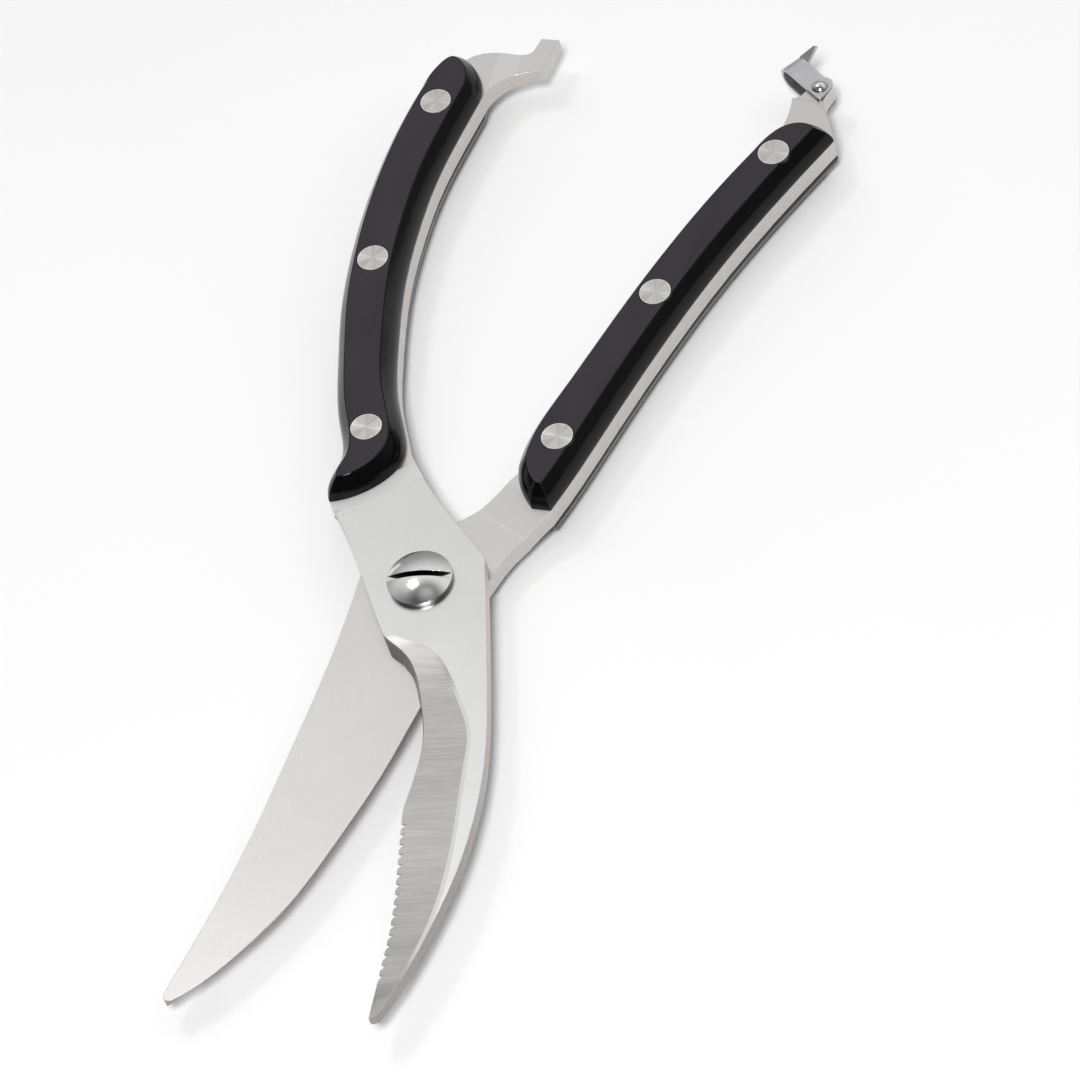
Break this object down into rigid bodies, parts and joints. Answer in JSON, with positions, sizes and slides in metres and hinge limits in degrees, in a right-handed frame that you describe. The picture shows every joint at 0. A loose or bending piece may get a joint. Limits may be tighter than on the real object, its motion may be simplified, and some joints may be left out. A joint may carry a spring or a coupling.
{
  "type": "poultry shears",
  "caption": "Spring-opened poultry shears with two curved tapering blades, one serrated, riveted two-sided grips, a slotted pivot screw and a swinging strap latch.",
  "frame": {"origin": "on the pivot screw's axis, in the plane of the grips' back faces, on which the shears lie", "axes": "+Z along the pivot axis towards the screw head and the front faces; +Y from the pivot towards the handles, with the blades towards -Y; +X towards the right handle as seen from the front"},
  "size_m": [0.0962, 0.2493, 0.0154],
  "materials": {
    "blade_steel": "fine satin brushing, transverse grinding lines on the bevels",
    "grip_plastic": "black moulded plastic, polished sides, slightly matt flat faces",
    "rivet_steel": "faced flush, fine circular brushing",
    "screw_steel": "polished",
    "nut_steel": "plain turned",
    "latch_steel": "satin, tumbled edges",
    "spring_wire": "drawn spring wire"
  },
  "bodies": {
    "rear_half": {"rear_blade": "blade_steel", "right_grip_front": "grip_plastic", "right_grip_back": "grip_plastic", "rivet_pin_right_end": "rivet_steel", "rivet_socket_right_end": "rivet_steel", "rivet_pin_right_middle": "rivet_steel", "rivet_socket_right_middle": "rivet_steel", "rivet_pin_right_neck": "rivet_steel", "rivet_socket_right_neck": "rivet_steel", "pivot_screw": "screw_steel", "pivot_washer": "nut_steel", "pivot_nut": "nut_steel", "torsion_spring": "spring_wire", "latch_rivet": "screw_steel"},
    "front_half": {"front_blade": "blade_steel", "left_grip_front": "grip_plastic", "left_grip_back": "grip_plastic", "rivet_pin_left_end": "rivet_steel", "rivet_socket_left_end": "rivet_steel", "rivet_pin_left_middle": "rivet_steel", "rivet_socket_left_middle": "rivet_steel", "rivet_pin_left_neck": "rivet_steel", "rivet_socket_left_neck": "rivet_steel"},
    "latch": {"latch_strap": "latch_steel"}
  },
  "joints": [
    {"name": "blade_pivot", "type": "hinge", "parent": "rear_half", "child": "front_half", "pos_m": [0, 0, 0.0077], "axis": [0, 0, 1], "range_deg": [-22.8, 0], "stiffness_Nm_per_rad": 0.35, "springref_deg": 20.05, "deforming": ["torsion_spring"]},
    {"name": "latch_pivot", "type": "hinge", "parent": "rear_half", "child": "latch", "pos_m": [0.0489, 0.1381, 0.0077], "axis": [0, 0, 1], "range_deg": [-75, 24]}
  ]
}
